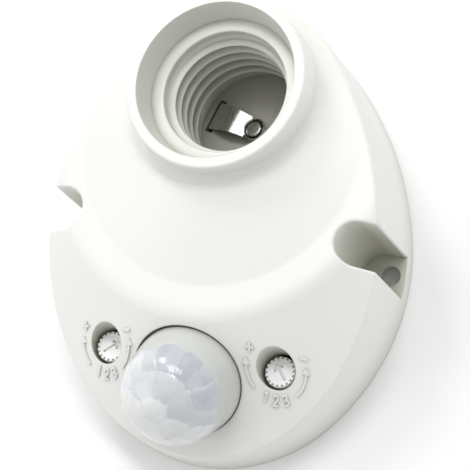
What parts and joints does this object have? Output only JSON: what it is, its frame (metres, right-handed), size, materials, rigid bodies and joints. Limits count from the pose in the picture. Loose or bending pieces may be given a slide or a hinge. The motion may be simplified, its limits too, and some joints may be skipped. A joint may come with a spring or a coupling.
{
  "type": "motion sensor lamp holder",
  "caption": "Oval surface-mounted lamp holder with a screw-shell lamp socket, a domed infrared motion sensor lens and adjusting dials.",
  "frame": {"origin": "middle of the flat back, which lies on the wall or ceiling", "axes": "+Z points out of the wall along the lamp, +Y points from the sensor end to the socket end, +X completes the frame"},
  "size_m": [0.077, 0.0992, 0.0405],
  "materials": {
    "housing_plastic": "fine satin moulded ABS, slightly warm white",
    "inner_plastic": "plain moulded heat-resistant plastic",
    "lens_plastic": "milky translucent polyethylene",
    "contact_metal": "plated spring strip",
    "screw_steel": "zinc plated",
    "can_metal": "drawn can",
    "window_glass": "dark infrared filter window",
    "black_rubber": "matt",
    "board_laminate": "brown phenolic board",
    "black_plastic": "moulded",
    "white_plastic": "moulded, slightly glossy",
    "relay_plastic": "moulded blue case",
    "film_plastic": "dipped red-brown film capacitor",
    "capacitor_sleeve": "shrunk sleeve",
    "photocell_face": "clear coated cell",
    "terminal_plastic": "moulded green block",
    "lead_copper": "tinned copper wire"
  },
  "bodies": {
    "holder": {"front_housing": "housing_plastic", "rear_cover": "housing_plastic", "rear_cover_screws": "screw_steel", "cable_grommet": "black_rubber", "thread_sleeve": "inner_plastic", "contact_carrier": "inner_plastic", "carrier_screws": "screw_steel", "live_lead": "lead_copper", "neutral_lead": "lead_copper", "pir_lens": "lens_plastic", "lens_retaining_ring": "black_plastic", "pir_sensor": "can_metal", "sensor_window": "window_glass", "sensor_spacer": "black_plastic", "light_sensor": "photocell_face", "circuit_board": "board_laminate", "board_screws": "screw_steel", "time_trimmer_body": "black_plastic", "lux_trimmer_body": "black_plastic", "relay": "relay_plastic", "smoothing_capacitor": "capacitor_sleeve", "film_capacitor": "film_plastic", "control_chip": "black_plastic", "rectifier_diodes": "black_plastic", "terminal_block": "terminal_plastic", "terminal_screws": "screw_steel"},
    "time_dial": {"time_trimmer_rotor": "white_plastic"},
    "lux_dial": {"lux_trimmer_rotor": "white_plastic"},
    "centre_spring": {"centre_contact": "contact_metal"},
    "side_spring": {"side_contact": "contact_metal"}
  },
  "joints": [
    {"name": "time_trimmer_turn", "type": "hinge", "parent": "holder", "child": "time_dial", "pos_m": [-0.0195, -0.0295, 0.0172], "axis": [0, 0, 1], "range_deg": [-268.6, 11.4]},
    {"name": "lux_trimmer_turn", "type": "hinge", "parent": "holder", "child": "lux_dial", "pos_m": [0.0195, -0.0295, 0.0172], "axis": [0, 0, 1], "range_deg": [0, 280]},
    {"name": "centre_contact_flex", "type": "hinge", "parent": "holder", "child": "centre_spring", "pos_m": [-0.0109, 0.0276, 0.0098], "axis": [0.2736, 0.9619, 0], "range_deg": [0, 8], "stiffness_Nm_per_rad": 0.4},
    {"name": "side_contact_flex", "type": "hinge", "parent": "holder", "child": "side_spring", "pos_m": [0.0063, 0.01429, 0.0098], "axis": [0.866, 0.5, 0], "range_deg": [0, 5], "stiffness_Nm_per_rad": 0.06}
  ]
}
